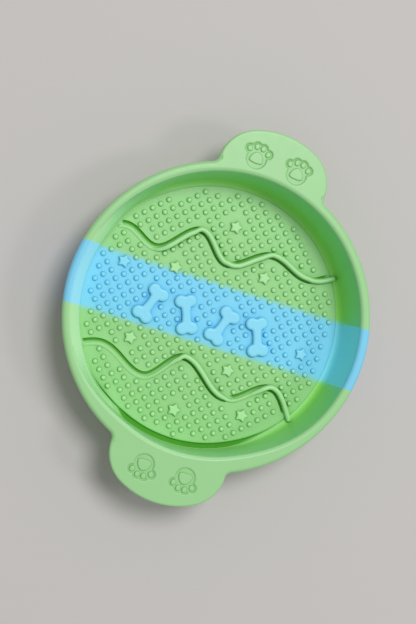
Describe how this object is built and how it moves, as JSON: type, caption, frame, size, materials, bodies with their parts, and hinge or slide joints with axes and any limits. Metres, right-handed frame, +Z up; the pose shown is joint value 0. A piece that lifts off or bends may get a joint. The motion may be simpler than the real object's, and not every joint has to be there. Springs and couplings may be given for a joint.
{
  "type": "slow feeder dog bowl",
  "caption": "Round two-colour silicone slow feeder bowl for dogs, with a nubbed licking floor, wavy ridges, stars, bones and two flat lifting handles with paw prints.",
  "frame": {"origin": "centre of the bowl on the surface it stands on", "axes": "+Z up, +Y towards the far handle, +X along the blue band (turned about 3.3 degrees from it)"},
  "size_m": [0.2, 0.249, 0.0425],
  "materials": {
    "green_silicone": "satin moulded silicone, light green",
    "blue_silicone": "satin moulded silicone, light blue"
  },
  "bodies": {
    "root": {"far_green_body": "green_silicone", "near_green_body": "green_silicone", "far_handle": "green_silicone", "near_handle": "green_silicone", "far_wave_ridge": "green_silicone", "near_wave_ridge": "green_silicone", "far_outer_nubs": "green_silicone", "far_inner_nubs": "green_silicone", "near_inner_nubs": "green_silicone", "near_outer_nubs": "green_silicone", "far_stars": "green_silicone", "near_stars": "green_silicone", "far_left_paw_pads": "green_silicone", "far_right_paw_pads": "green_silicone", "near_left_paw_pads": "green_silicone", "near_right_paw_pads": "green_silicone", "far_suction_cups": "green_silicone", "near_suction_cups": "green_silicone", "blue_band_body": "blue_silicone", "blue_band_nubs": "blue_silicone", "blue_band_stars": "blue_silicone", "bone_reliefs": "blue_silicone", "blue_band_suction_cups": "blue_silicone"}
  },
  "joints": []
}
